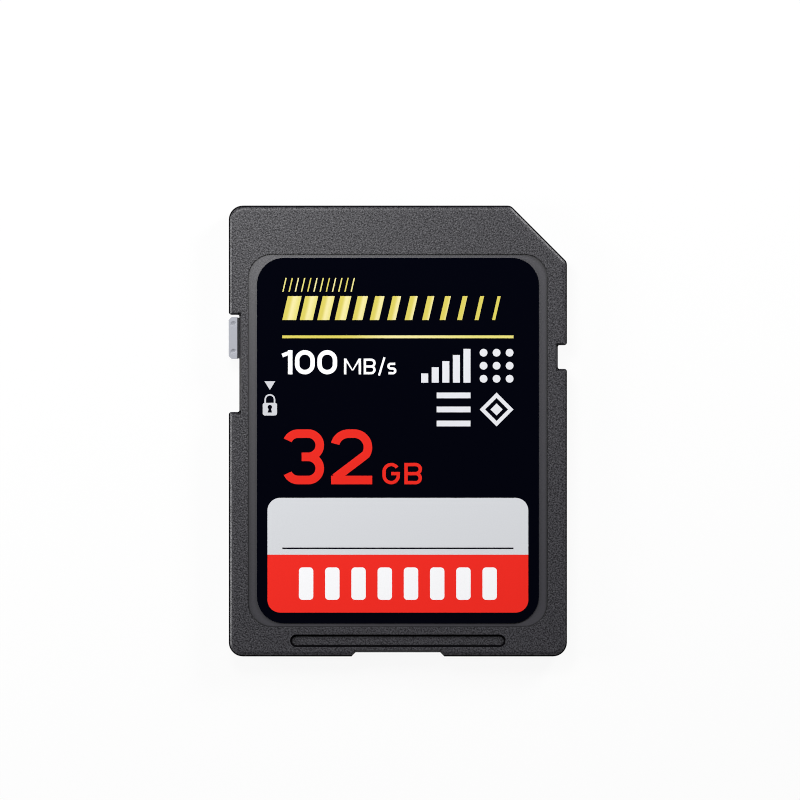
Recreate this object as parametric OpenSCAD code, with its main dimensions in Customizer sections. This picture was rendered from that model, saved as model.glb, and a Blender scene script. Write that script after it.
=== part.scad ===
// Full-size memory card with a write-protect slider, lying on its back face.
// Millimetres. Origin on the table under the middle of the card: X across the card, with the cut
// corner on the plus side, Y towards the contact end, Z up through the label.

/* [Card] */
// Width over the side rails
card_w = 24; // [23:0.1:26]
// Length from the foot to the contact end
card_l = 32; // [31:0.1:36]
// Thickness over the middle
card_t = 2.1; // [2.05:0.05:2.4]
// Thickness of each side rail, measured from the label side
rail_t = 1.4; // [1.35:0.05:1.45]
// Width of the step from the card's edge to its thick middle
rail_w = 0.75; // [0.65:0.05:0.85]
// Size of the corner cut along each edge
corner_cut = 4; // [3.5:0.1:4.5]
// Radius where the corner cut meets the edges
cut_r = 0.5; // [0.3:0.1:1]
// Radius of the three square corners
corner_r = 1; // [0.6:0.1:1.2]
// Rounding of the edge around the label side
edge_r = 0.35; // [0.2:0.05:0.4]
// Bevel on the edges around the contact side
back_edge_d = 0.12; // [0.08:0.02:0.2]

/* [Shells] */
// Depth of the front shell's rim, from the label side to the seam
front_rim = 0.7; // [0.65:0.05:0.75]
// Side walls, from the card's edge to the cavity
side_wall = 1.3; // [1.25:0.05:1.4]
// Wall at the foot
foot_wall = 1.2; // [1.1:0.1:1.6]
// Wall at the contact end and along the corner cut
lip_wall = 1.1; // [1:0.05:1.3]
// Floor of the back shell
floor_t = 0.45; // [0.4:0.05:0.5]
// Front shell between the cavity and the label recess
roof_t = 0.35; // [0.3:0.05:0.4]
// Width of the shelf that the board rests on
board_seat = 0.5; // [0.4:0.05:0.7]
// Width of the weld rib on the seam
weld_w = 0.25; // [0.2:0.05:0.3]
// Height of the weld rib
weld_h = 0.2; // [0.15:0.05:0.25]
// Clearance around the weld rib in its groove
weld_gap = 0.05; // [0.03:0.01:0.06]
// Distance from the card's edge to the middle of the weld rib
weld_inset = 0.55; // [0.5:0.01:0.6]

/* [Edge notches] */
// Contact end to the top of the lock notch
lock_from_top = 7.75; // [7.5:0.05:8]
// Length of the lock notch
lock_notch_l = 6.9; // [6.7:0.05:7.1]
// Depth of the lock notch
lock_notch_d = 0.75; // [0.7:0.05:0.8]
// Contact end to the top of the latch notch
latch_from_top = 9.91; // [9.5:0.05:10.5]
// Length of the latch notch
latch_notch_l = 1.68; // [1.5:0.05:1.9]
// Depth of the latch notch
latch_notch_d = 0.65; // [0.6:0.05:0.8]
// Radius on the outer corners of both notches
notch_r = 0.2; // [0.1:0.05:0.3]
// Radius in the inner corners of both notches
notch_inner_r = 0.12; // [0.05:0.01:0.2]
// Bevel on the label-side edges of the notches and the foot recess
notch_bevel_d = 0.16; // [0.06:0.02:0.2]
// Width of the recess in the foot, at its inner side
foot_recess_w = 6; // [5:0.1:7]
// Depth of the recess in the foot
foot_recess_d = 0.3; // [0.2:0.05:0.35]

/* [Finger groove] */
// Length of the groove over its rounded ends
groove_l = 15.3; // [12:0.1:17]
// Width at the surface
groove_w = 0.9; // [0.7:0.05:1]
// Width at the floor
groove_floor_w = 0.6; // [0.4:0.02:0.7]
// Depth of the groove
groove_d = 0.24; // [0.1:0.02:0.24]
// Foot to the middle of the groove
groove_from_foot = 1.12; // [1:0.02:1.2]

/* [Lock slider] */
// Length of the slider
slider_l = 2.96; // [2.8:0.02:3.2]
// Gap left at either end of its travel
slider_end_gap = 0.17; // [0.1:0.01:0.3]
// Gap between the slider and the notch wall
slider_side_gap = 0.14; // [0.06:0.01:0.15]
// Clearance of the tongue and head in their slot and pocket, and of the block under both faces
slide_gap = 0.05; // [0.03:0.01:0.06]
// Corner chamfer of the slider
slider_chamfer = 0.2; // [0.1:0.05:0.3]
// Radius of the ball that leaves each shallow dimple
dimple_ball_r = 0.28; // [0.22:0.01:0.3]
// Depth of each dimple
dimple_d = 0.1; // [0.06:0.01:0.11]
// Slider's end to the middle of a dimple
dimple_end = 0.5; // [0.45:0.01:0.7]
// Card's edge to the middle of a dimple
dimple_edge = 0.34; // [0.31:0.01:0.36]
// Length of the tongue
tongue_l = 2.9; // [1.4:0.1:2.9]
// Thickness of the tongue
tongue_t = 0.35; // [0.3:0.01:0.4]
// Length of the head that holds the slider in
head_l = 3; // [2.9:0.1:3.1]
// Width of the head
head_w = 0.6; // [0.5:0.05:0.65]
// Wall between the notch and the head's pocket
slot_wall = 0.4; // [0.35:0.05:0.45]
// Extra height over the head, above the cavity's ceiling
head_room = 0.05; // [0.03:0.01:0.08]

/* [Contacts] */
// Distance from one wide contact to the next
contact_pitch = 2.5; // [2.45:0.01:2.55]
// Card's right edge to the middle of the contact in the cut corner
first_contact = 2.625; // [2.5:0.025:2.7]
// Last wide contact to the middle of the first narrow one
wide_to_narrow = 2.425; // [2.4:0.025:2.5]
// One narrow contact to the next
narrow_pitch = 1.7; // [1.65:0.05:1.75]
// Width of the wide windows
window_w = 1.9; // [1.8:0.05:1.95]
// Width of the narrow windows
narrow_window_w = 1.1; // [1:0.05:1.15]
// Contact end to the inner end of the windows
window_l = 5.7; // [5.2:0.1:6]
// How far the corner contact is set back from the rest
corner_setback = 3; // [2.9:0.1:3.2]
// Thickness of a contact
contact_t = 0.035; // [0.03:0.005:0.04]
// How far a contact reaches under its window's sides and inner end
contact_lap = 0.1; // [0.06:0.02:0.12]
// Clearance around a contact where it reaches under the shell
contact_gap = 0.05; // [0.03:0.01:0.06]
// Board's edge to the outer end of a contact
contact_from_edge = 0.2; // [0.1:0.05:0.3]

/* [Circuit board] */
// Thickness of the board
board_t = 0.3; // [0.25:0.05:0.35]
// Gap between the board and the walls
board_gap = 0.1; // [0.06:0.02:0.14]
// Radius of a locating pin
pin_r = 0.5; // [0.4:0.05:0.55]
// Clearance of the pin in the board
pin_gap = 0.05; // [0.03:0.01:0.08]
// Outer radius of the boss under the board and of the collar over it
boss_r = 0.9; // [0.85:0.05:1]
// Card's side edge to the middle of a locating pin
pin_from_side = 2.6; // [2.5:0.02:2.64]
// Foot to the middle of a locating pin
pin_from_foot = 2.5; // [2.4:0.02:2.54]
// How far a locating pin stands over the board
pin_rise = 0.25; // [0.15:0.05:0.3]
// Radius of the two plain posts that hold the board down
post_r = 0.6; // [0.5:0.05:0.8]
// Card's side edge to the middle of a plain post
post_from_side = 3.3; // [3:0.1:3.6]
// Contact end to the middle of a plain post
post_from_top = 3.6; // [3.4:0.1:4]

/* [Chips] */
// Width of the memory package
flash_w = 13; // [11:0.5:13.5]
// Length of the memory package
flash_l = 16; // [14:0.5:16.5]
// Thickness of both packages
chip_t = 0.5; // [0.4:0.05:0.55]
// Foot to the near side of the memory package
flash_from_foot = 3.4; // [3:0.1:3.8]
// Card's right edge to the near side of the memory package
flash_from_side = 4.3; // [4:0.1:4.6]
// Side of the square controller package
controller_w = 7; // [6:0.5:7.5]
// Gap between the two packages
chip_gap = 1.2; // [0.8:0.1:1.6]
// Length of a capacitor or resistor
passive_l = 1; // [0.8:0.1:1.1]
// Width of a capacitor or resistor
passive_w = 0.5; // [0.4:0.05:0.6]
// Height of a capacitor
capacitor_t = 0.48; // [0.4:0.02:0.52]
// Height of a resistor
resistor_t = 0.33; // [0.25:0.02:0.4]
// Distance from one capacitor or resistor to the next
passive_pitch = 1.7; // [1.4:0.1:1.8]
// Controller to the nearest row of these parts
passive_gap = 1.5; // [1.2:0.1:1.8]

/* [Label] */
// Width of the label recess
recess_w = 21.28; // [20.6:0.02:21.4]
// Contact end to the recess
recess_from_top = 3.44; // [3.3:0.02:3.7]
// Foot to the recess
recess_from_foot = 2.09; // [1.95:0.01:2.3]
// Depth of the recess
recess_d = 0.15; // [0.14:0.01:0.2]
// Corner radius of the recess
recess_r = 1.7; // [1.5:0.1:2]
// Gap between the label and each side of the recess
label_side_gap = 0.64; // [0.3:0.01:0.7]
// Gap between the label and the ends of the recess
label_end_gap = 0.28; // [0.15:0.01:0.4]
// Corner radius of the label
label_r = 1.9; // [1.5:0.1:2.2]
// Thickness of the label film
label_t = 0.1; // [0.06:0.01:0.11]
// Thickness of the printed inks
ink_t = 0.02; // [0.01:0.005:0.025]
// Width of the recess on the back
back_recess_w = 18.6; // [17:0.1:19]
// Contact end to the back recess
back_recess_from_top = 9.9; // [9.6:0.1:11]
// Foot to the back recess
back_recess_from_foot = 3; // [2.5:0.1:4]
// Depth of the back recess
back_recess_d = 0.1; // [0.09:0.01:0.12]
// Corner radius of the back recess
back_recess_r = 0.8; // [0.5:0.1:1.5]
// Gap around the back label
back_label_gap = 0.15; // [0.1:0.05:0.3]
// Thickness of the back label
back_label_t = 0.07; // [0.05:0.01:0.08]

/* [Label print] */
// Label's side edge to the print
print_margin = 1.8; // [1.5:0.1:2]
// Lean of the gold stripes
lean_angle = 13; // [0:1:20]
// Label's top to the row of fine gold strokes
fine_row_from_top = 1.42; // [1:0.05:1.6]
// Height of the fine gold strokes
fine_row_h = 0.98; // [0.8:0.02:1.1]
// Width of the fine gold strokes
fine_stroke = 0.09; // [0.08:0.01:0.15]
// Distance between the fine gold strokes
fine_pitch = 0.44; // [0.36:0.02:0.5]
// Label's top to the row of gold stripes
stripe_from_top = 2.71; // [2.65:0.01:2.8]
// Height of the gold stripes
stripe_h = 1.7; // [1.6:0.05:1.9]
// Distance from one gold stripe to the next
stripe_pitch = 1.24; // [1.2:0.01:1.26]
// Width of the widest gold stripe
stripe_widest = 0.98; // [0.8:0.02:1.05]
// Width of the narrowest gold stripe
stripe_narrowest = 0.22; // [0.15:0.01:0.4]
// Label's top to the gold rule
rule_from_top = 5.5; // [5.3:0.02:5.6]
// Thickness of the gold rule
rule_h = 0.2; // [0.16:0.02:0.35]
// Label's top to the row of white figures
speed_from_top = 6.54; // [6.4:0.02:6.7]
// Height of the white figures
speed_h = 1.72; // [1.6:0.02:1.8]
// Stroke of the white figures
speed_stroke = 0.32; // [0.28:0.02:0.38]
// Height of the small white unit
speed_unit_h = 1.12; // [1:0.02:1.2]
// Stroke of the small white unit
speed_unit_stroke = 0.17; // [0.15:0.01:0.22]
// Writing panel to the foot of the red figures
capacity_over_panel = 0.96; // [0.6:0.02:1]
// Height of the red figures
capacity_h = 3.9; // [3.8:0.05:4.05]
// Stroke of the red figures
capacity_stroke = 0.61; // [0.55:0.01:0.7]
// Height of the red unit
capacity_unit_h = 1.52; // [1.4:0.02:1.7]
// Stroke of the red unit
capacity_unit_stroke = 0.24; // [0.2:0.01:0.28]
// Label's edge to the writing panel and the red band, on three sides
panel_margin = 0.75; // [0.6:0.05:0.9]
// Height of the writing panel
panel_h = 4.03; // [3.6:0.05:4.2]
// Height of the red band
band_h = 4.11; // [3.8:0.05:4.3]
// Corner radius of the panel and band
panel_r = 0.9; // [0.6:0.05:1.2]
// Red band to the middle of the writing line
line_above_band = 0.45; // [0.4:0.01:0.7]
// Thickness of the writing line
line_h = 0.11; // [0.06:0.01:0.12]
// Width of a white slot in the red band
slot_w = 1.02; // [0.8:0.02:1.2]
// Height of a white slot in the red band
slot_h = 2.3; // [2:0.05:2.6]
// Distance from one white slot to the next
slot_pitch = 1.86; // [1.7:0.02:1.95]
// Number of white slots
slot_count = 8; // [4:1:8]
// Corner radius of a white slot
slot_r = 0.26; // [0.15:0.01:0.3]
// Label's side edge to the middle of the padlock sign
padlock_from_side = 0.92; // [0.8:0.01:1]
// Label's top to the pointer over the padlock
pointer_from_top = 8.75; // [8.5:0.05:9]
// Width of the pointer
pointer_w = 0.76; // [0.7:0.02:0.9]
// Height of the pointer
pointer_h = 0.62; // [0.56:0.02:0.74]
// Label's top to the top of the padlock
padlock_from_top = 9.66; // [9.5:0.02:9.8]
// Width of the padlock's body
padlock_w = 1.02; // [0.96:0.02:1.1]
// Height of the padlock's body
padlock_body_h = 0.9; // [0.86:0.01:1]
// Height of the padlock's shackle over its body
shackle_h = 0.62; // [0.56:0.01:0.66]
// Stroke of the shackle
shackle_stroke = 0.11; // [0.09:0.01:0.14]
// Height of the plain signs on the right
sign_h = 2.4; // [2:0.05:2.5]
// Distance from one plain sign to the next across the label
sign_step = 3.05; // [2.8:0.05:3.2]
// Label's top to the upper plain signs
upper_signs_from_top = 6.45; // [6.3:0.05:6.6]
// Label's top to the lower plain signs
lower_signs_from_top = 9.55; // [9.4:0.05:9.7]

/* [Hidden] */
$fn = 48;

// Long enough to cut clean through the card
through = 10;
// Depth that one solid runs into another so that they join
bite = 0.1;
half_w = card_w / 2;
half_l = card_l / 2;

// Heights, from the table up
rail_z = card_t - rail_t;
board_z = rail_z + contact_t;
board_top = board_z + board_t;
seam_z = card_t - front_rim;
recess_z = card_t - recess_d;
ceiling_z = recess_z - roof_t;
label_top = recess_z + label_t;

// Lock notch, the slider in it and the slot and pocket behind it
lock_top_y = half_l - lock_from_top;
lock_wall_x = -half_w + lock_notch_d;
pocket_x = lock_wall_x + slot_wall;
pocket_w = head_w + 2 * slide_gap;
slider_y = lock_top_y - slider_end_gap - slider_l / 2;
slider_travel = lock_notch_l - slider_l - 2 * slider_end_gap;
slot_z = seam_z - tongue_t - 2 * slide_gap;
pocket_ceiling_z = ceiling_z + head_room;
travel_slack = 0.1;

latch_top_y = half_l - latch_from_top;

// Line of the corner cut: x + y stays at this sum along it
cut_sum = half_w + half_l - corner_cut;

// Contacts, numbered from the cut corner's neighbour, with the corner one last
wide_count = 6;
corner_contact = 9;
function is_narrow(n) = n == 7 || n == 8;
function contact_x(n) =
    n == corner_contact ? half_w - first_contact
    : n <= wide_count ? half_w - first_contact - n * contact_pitch
    : half_w - first_contact - wide_count * contact_pitch - wide_to_narrow
        - (n - wide_count - 1) * narrow_pitch;
function window_width(n) = is_narrow(n) ? narrow_window_w : window_w;
function setback(n) = n == corner_contact ? corner_setback : 0;
contact_top_y = half_l - lip_wall - board_gap - contact_from_edge;
function contact_y1(n) = contact_top_y - setback(n);
function contact_y0(n) = half_l - window_l - contact_lap - setback(n);

// Chips on the board
flash_x = half_w - flash_from_side - flash_w / 2;
flash_y = -half_l + flash_from_foot + flash_l / 2;
controller_x = flash_x + (flash_w - controller_w) / 2;
controller_y = flash_y + flash_l / 2 + chip_gap + controller_w / 2;
passive_count = 4;
capacitor_x = controller_x - controller_w / 2 - passive_gap;
resistor_x = capacitor_x - 2 * passive_gap;

// Label and print, measured from the label's own edges
label_w = recess_w - 2 * label_side_gap;
label_y1 = half_l - recess_from_top - label_end_gap;
label_y0 = -half_l + recess_from_foot + label_end_gap;
print_x0 = -label_w / 2 + print_margin;
print_x1 = label_w / 2 - print_margin;
panel_w = label_w - 2 * panel_margin;
band_y0 = label_y0 + panel_margin;
panel_y0 = band_y0 + band_h;
speed_y0 = label_y1 - speed_from_top - speed_h;
capacity_y0 = panel_y0 + panel_h + capacity_over_panel;
padlock_x = -label_w / 2 + padlock_from_side;

// Plane shapes

function unit(v) = v / norm(v);

// Middle of the circle that rounds corner i of a convex outline, counted anticlockwise
function to_last(points, i) = unit(points[(i + len(points) - 1) % len(points)] - points[i]);
function to_next(points, i) = unit(points[(i + 1) % len(points)] - points[i]);
function half_corner(points, i) = acos(to_last(points, i) * to_next(points, i)) / 2;
function round_centre(points, radii, i) =
    points[i] + unit(to_last(points, i) + to_next(points, i)) * radii[i] / sin(half_corner(points, i));
function round_start(points, radii, i) =
    points[i] + to_last(points, i) * radii[i] / tan(half_corner(points, i));
function round_end(points, radii, i) =
    points[i] + to_next(points, i) * radii[i] / tan(half_corner(points, i));

module rounded_polygon(points, radii) {
    polygon([
        for (i = [0:len(points) - 1], last = [true, false])
            last ? round_start(points, radii, i) : round_end(points, radii, i)
    ]);
    for (i = [0:len(points) - 1])
        translate(round_centre(points, radii, i))
            circle(r = radii[i]);
}

module rounded_box(x0, y0, x1, y1, r) {
    rounded_polygon([[x0, y0], [x1, y0], [x1, y1], [x0, y1]], [r, r, r, r]);
}

// Corners of the card's outline, drawn in from the sides, the foot, the contact end and the cut
function card_corners(side, foot, top, cut) =
    let (x = half_w - side, y0 = -half_l + foot, y1 = half_l - top, sum = cut_sum - cut * sqrt(2))
        [[-x, y0], [x, y0], [x, sum - x], [sum - y1, y1], [-x, y1]];
function card_radii(r, small_r) = [r, r, small_r, small_r, r];

// A straight stroke with square ends
module stroke(from, to, w) {
    along = to - from;
    translate(from)
        rotate(atan2(along.y, along.x))
            translate([0, -w / 2])
                square([norm(along), w]);
}

// Part of a ring of mid radius r, from one angle to another
module arc_stroke(centre, r, w, from, to) {
    steps = ceil((to - from) / 45);
    reach = 2 * (r + w);
    translate(centre)
        intersection() {
            difference() {
                circle(r = r + w / 2);
                circle(r = r - w / 2);
            }
            polygon(concat([[0, 0]], [
                for (i = [0:steps])
                    let (a = from + (to - from) * i / steps)
                        reach * [cos(a), sin(a)]
            ]));
        }
}

// Figures and unit letters, each standing on the X axis with its left side at 0

module figure_0(h, w, s) {
    r = (w - s) / 2;
    arc_stroke([w / 2, h - w / 2], r, s, 0, 180);
    arc_stroke([w / 2, w / 2], r, s, 180, 360);
    for (x = [s / 2, w - s / 2])
        stroke([x, w / 2], [x, h - w / 2], s);
}

module figure_1(h, w, s) {
    stroke([w - s / 2, 0], [w - s / 2, h], s);
    stroke([0, h - s * 1.2], [w - s * 0.4, h - s * 0.45], s * 0.85);
}

module figure_2(h, w, s) {
    r = min((w - s) / 2, h * 0.25);
    right = [w - r - s / 2, h - r - s / 2];
    left = [r + s / 2, right.y];
    turn = -36;
    arc_stroke(right, r, s, turn, 90);
    arc_stroke(left, r, s, 90, 165);
    stroke([left.x, h - s / 2], [right.x, h - s / 2], s);
    stroke(right + r * [cos(turn + 4), sin(turn + 4)], [s * 0.55, s * 0.75], s);
    translate([s * 0.08, 0])
        square([w - s * 0.08, s]);
}

module figure_3(h, w, s) {
    r = (h - s) / 4;
    right = w - r - s / 2;
    left = r + s / 2;
    for (y = [h - r - s / 2, r + s / 2])
        arc_stroke([right, y], r, s, -90, 90);
    arc_stroke([left, h - r - s / 2], r, s, 90, 155);
    arc_stroke([left, r + s / 2], r, s, 205, 270);
    for (y = [h - s / 2, s / 2])
        stroke([left, y], [right, y], s);
    stroke([left + r * 0.3, h / 2], [right, h / 2], s);
}

module letter_b(h, w, s) {
    r = (h - s) / 4;
    stroke([s / 2, 0], [s / 2, h], s);
    for (y = [s / 2 + r, h - s / 2 - r])
        arc_stroke([w - r - s / 2, y], r, s, -90, 90);
    for (y = [s / 2, h / 2, h - s / 2])
        stroke([s / 2, y], [w - r - s / 2, y], s);
}

module letter_g(h, w, s) {
    r = (w - s) / 2;
    arc_stroke([w / 2, h - w / 2], r, s, 35, 180);
    arc_stroke([w / 2, w / 2], r, s, 180, 360);
    stroke([s / 2, w / 2], [s / 2, h - w / 2], s);
    stroke([w - s / 2, w / 2 - s / 4], [w - s / 2, h / 2 + s / 2], s);
    stroke([w / 2, h / 2], [w - s / 2, h / 2], s);
}

module letter_m(h, w, s) {
    for (x = [s / 2, w - s / 2])
        stroke([x, 0], [x, h], s);
    for (side = [0, 1])
        translate([side * w, 0])
            mirror([side, 0])
                polygon([[0, h], [s, h], [w / 2 + s / 4, h / 4], [w / 2 - s / 3, h / 4]]);
}

module letter_s(h, w, s) {
    r = (h - s) / 4;
    right = w - r - s / 2;
    left = r + s / 2;
    arc_stroke([left, h - r - s / 2], r, s, 90, 270);
    arc_stroke([right, r + s / 2], r, s, -90, 90);
    stroke([left, h - s / 2], [w - s / 2, h - s / 2], s);
    stroke([left, h / 2], [right, h / 2], s);
    stroke([s / 2, s / 2], [right, s / 2], s);
}

// Solid shapes

// A puck whose lower and upper edges are rounded by their own radii
edge_angles = [0, 22.5, 45, 67.5, 90];
module puck(r, z0, z1, low_r, high_r) {
    rotate_extrude($fn = 32)
        polygon(concat(
            [[0, z0]],
            low_r > 0
                ? [for (a = edge_angles) [r - low_r * (1 - sin(a)), z0 + low_r * (1 - cos(a))]]
                : [[r, z0]],
            high_r > 0
                ? [for (a = edge_angles) [r - high_r * (1 - cos(a)), z1 - high_r * (1 - sin(a))]]
                : [[r, z1]],
            [[0, z1]]
        ));
}

// A plate with the given corners and radii, rounded at its lower and upper edges
module rounded_slab(points, radii, z0, z1, low_r, high_r) {
    hull()
        for (i = [0:len(points) - 1])
            translate(round_centre(points, radii, i))
                puck(radii[i], z0, z1, low_r, high_r);
}

module prism(z0, z1) {
    translate([0, 0, z0])
        linear_extrude(z1 - z0)
            children();
}

module block(x0, y0, z0, x1, y1, z1) {
    translate([x0, y0, z0])
        cube([x1 - x0, y1 - y0, z1 - z0]);
}

// Cuts that both shells share

// The rounded corner where a notch meets the card's right edge, opening along Y
module notch_corner(y, way) {
    translate([half_w, y])
        mirror([0, way < 0 ? 1 : 0])
            difference() {
                translate([-notch_r, 0])
                    square([2 * notch_r, notch_r]);
                translate([-notch_r, notch_r])
                    circle(r = notch_r);
            }
}

// A notch in the card's right edge
module edge_notch(top_y, l, d) {
    rounded_box(half_w - d, top_y - l, half_w + d, top_y, notch_inner_r);
    notch_corner(top_y, 1);
    notch_corner(top_y - l, -1);
}

// The foot recess, counted anticlockwise from its left end
function foot_recess_points(d) = [
    [-foot_recess_w / 2 - 2 * d, -half_l - d], [foot_recess_w / 2 + 2 * d, -half_l - d],
    [foot_recess_w / 2, -half_l + d], [-foot_recess_w / 2, -half_l + d]
];

module edge_cuts() {
    prism(-through, through) {
        mirror([1, 0])
            edge_notch(lock_top_y, lock_notch_l, lock_notch_d);
        edge_notch(latch_top_y, latch_notch_l, latch_notch_d);
        polygon(foot_recess_points(foot_recess_d));
    }
}

// Cuts a bevel of size d along the upper or lower edge of a wall. The wall runs from one point to
// the next, with its material on the left.
module wall_bevel(from, to, z, d, upper) {
    along = to - from;
    translate([from.x, from.y, z])
        rotate(atan2(along.y, along.x))
            mirror([0, 0, upper ? 1 : 0])
                translate([-bite, 0, 0])
                    rotate([90, 0, 90])
                        linear_extrude(norm(along) + 2 * bite)
                            polygon([[-bite, -bite], [d + bite, -bite], [-bite, d + bite]]);
}

// Bevels along the three walls of a notch in the right edge, at the label side
module notch_bevels(top_y, l, d) {
    walls = [[half_w, top_y], [half_w - d, top_y], [half_w - d, top_y - l], [half_w, top_y - l]];
    for (i = [0:2])
        wall_bevel(walls[i + 1], walls[i], card_t, notch_bevel_d, true);
}

module label_side_bevels() {
    recess = foot_recess_points(foot_recess_d);
    mirror([1, 0, 0])
        notch_bevels(lock_top_y, lock_notch_l, lock_notch_d);
    notch_bevels(latch_top_y, latch_notch_l, latch_notch_d);
    for (i = [1:3])
        wall_bevel(recess[(i + 1) % 4], recess[i], card_t, notch_bevel_d, true);
}

// Room for the slider's head behind the notch wall, over its whole travel
module head_pocket(z0, z1) {
    reach = head_l / 2 + travel_slack;
    block(pocket_x, slider_y - slider_travel - reach, z0, pocket_x + pocket_w, slider_y + reach, z1);
}

// Outline of the space inside, above the shelf that holds the board
module cavity_outline() {
    rounded_polygon(
        card_corners(side_wall, foot_wall, lip_wall, lip_wall),
        card_radii(cut_r, cut_r)
    );
}

// The weld rib's straight runs, as [x0, y0, x1, y1]
weld_x = half_w - weld_inset;
weld_y = half_l - weld_inset;
weld_end = corner_r + weld_inset;
weld_runs = [
    [-weld_x, -half_l + weld_end, -weld_x, lock_top_y - lock_notch_l - weld_end],
    [-weld_x, lock_top_y + weld_end, -weld_x, half_l - weld_end],
    [weld_x, -half_l + weld_end, weld_x, latch_top_y - latch_notch_l - weld_end],
    [weld_x, latch_top_y + weld_end, weld_x, half_l - corner_cut - weld_end],
    [-half_w + weld_end, weld_y, half_w - corner_cut - weld_end, weld_y],
    [-half_w + weld_end, -weld_y, -foot_recess_w / 2 - weld_end, -weld_y],
    [foot_recess_w / 2 + weld_end, -weld_y, half_w - weld_end, -weld_y]
];

module weld_line(z0, z1, grow) {
    for (run = weld_runs)
        block(
            run[0] - weld_w / 2 - grow, run[1] - weld_w / 2 - grow, z0,
            run[2] + weld_w / 2 + grow, run[3] + weld_w / 2 + grow, z1
        );
}

module at_pins() {
    for (side = [-1, 1])
        translate([side * (half_w - pin_from_side), -half_l + pin_from_foot])
            children();
}

module at_posts() {
    for (side = [-1, 1])
        translate([side * (half_w - post_from_side), half_l - post_from_top])
            children();
}

// Shells

module finger_groove() {
    reach = groove_l / 2 - groove_w / 2;
    wide = groove_w / 2;
    narrow = groove_floor_w / 2;
    slope = (wide - narrow) / groove_d;
    top_r = wide + slope * bite;
    translate([0, -half_l + groove_from_foot, card_t - groove_d]) {
        rotate([90, 0, 90])
            translate([0, 0, -reach])
                linear_extrude(2 * reach)
                    polygon([
                        [-narrow, 0], [narrow, 0],
                        [top_r, groove_d + bite], [-top_r, groove_d + bite]
                    ]);
        for (side = [-1, 1])
            translate([side * reach, 0, 0])
                cylinder(r1 = narrow, r2 = top_r, h = groove_d + bite);
    }
}

module front_shell() {
    color("#4a494d")
        difference() {
            union() {
                difference() {
                    rounded_slab(
                        card_corners(0, 0, 0, 0), card_radii(corner_r, cut_r),
                        seam_z, card_t, 0, edge_r
                    );
                    prism(seam_z - bite, ceiling_z)
                        cavity_outline();
                }
                weld_line(seam_z - weld_h, seam_z + bite, 0);
                at_posts()
                    translate([0, 0, board_top])
                        cylinder(r = post_r, h = ceiling_z - board_top + bite);
                at_pins()
                    translate([0, 0, board_top])
                        cylinder(r = boss_r, h = ceiling_z - board_top + bite);
            }
            edge_cuts();
            label_side_bevels();
            finger_groove();
            prism(recess_z, card_t + bite)
                rounded_box(
                    -recess_w / 2, -half_l + recess_from_foot,
                    recess_w / 2, half_l - recess_from_top, recess_r
                );
            head_pocket(seam_z - bite, pocket_ceiling_z);
            at_pins()
                translate([0, 0, board_top - bite])
                    cylinder(r = pin_r + 2 * pin_gap, h = pin_rise + bite + pin_gap);
        }
}

// Lead-in at the outer edge of each window
window_lead = 0.15;

module contact_window(n) {
    w = window_width(n);
    y0 = half_l - window_l - setback(n);
    y1 = half_l + bite;
    translate([contact_x(n) - w / 2, 0, 0])
        rotate([90, 0, 90])
            linear_extrude(w)
                polygon([
                    [y0, -bite], [y1, -bite], [y1, rail_z + window_lead + bite],
                    [half_l - window_lead, rail_z], [y0, rail_z]
                ]);
}

module contact_block(n, grow, z0, z1) {
    x = window_width(n) / 2 + contact_lap + grow;
    block(
        contact_x(n) - x, contact_y0(n) - grow, z0,
        contact_x(n) + x, contact_y1(n) + grow, z1
    );
}

// The back shell's outer form: a thick middle with a thinner rail down each side
module back_blank() {
    middle = card_corners(rail_w, 0, 0, 0);
    rails = card_corners(0, 0, 0, 0);
    difference() {
        prism(0, seam_z)
            rounded_polygon(rails, card_radii(corner_r, cut_r));
        for (side = [-1, 1])
            translate([side * half_w - rail_w, -half_l - bite, -bite])
                cube([2 * rail_w, card_l + 2 * bite, rail_z + bite]);
        for (i = [0:len(middle) - 1])
            wall_bevel(middle[i], middle[(i + 1) % len(middle)], 0, back_edge_d, false);
        for (i = [1, 2, 4])
            wall_bevel(rails[i], rails[(i + 1) % len(rails)], rail_z, back_edge_d, false);
    }
}

module back_shell() {
    well_x = half_w - side_wall - board_seat;
    color("#3f3e42")
        difference() {
            union() {
                difference() {
                    back_blank();
                    prism(board_z, seam_z + bite)
                        cavity_outline();
                    block(
                        -well_x, -half_l + foot_wall + board_seat, floor_t,
                        well_x, half_l - window_l - corner_setback - board_seat, board_z + bite
                    );
                }
                at_pins() {
                    translate([0, 0, floor_t - bite])
                        cylinder(r = boss_r, h = board_z - floor_t + bite);
                    translate([0, 0, floor_t])
                        cylinder(r = pin_r, h = board_top + pin_rise - floor_t);
                }
            }
            edge_cuts();
            weld_line(seam_z - weld_h - weld_gap, seam_z + bite, weld_gap);
            head_pocket(board_z, seam_z + bite);
            block(
                lock_wall_x - bite, slider_y - slider_travel - tongue_l / 2 - travel_slack, slot_z,
                pocket_x + bite, slider_y + tongue_l / 2 + travel_slack, seam_z + bite
            );
            for (n = [1:corner_contact]) {
                contact_window(n);
                contact_block(n, contact_gap, rail_z, board_z + bite);
            }
            prism(-bite, back_recess_d)
                rounded_box(
                    -back_recess_w / 2, -half_l + back_recess_from_foot,
                    back_recess_w / 2, half_l - back_recess_from_top, back_recess_r
                );
        }
}

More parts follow.
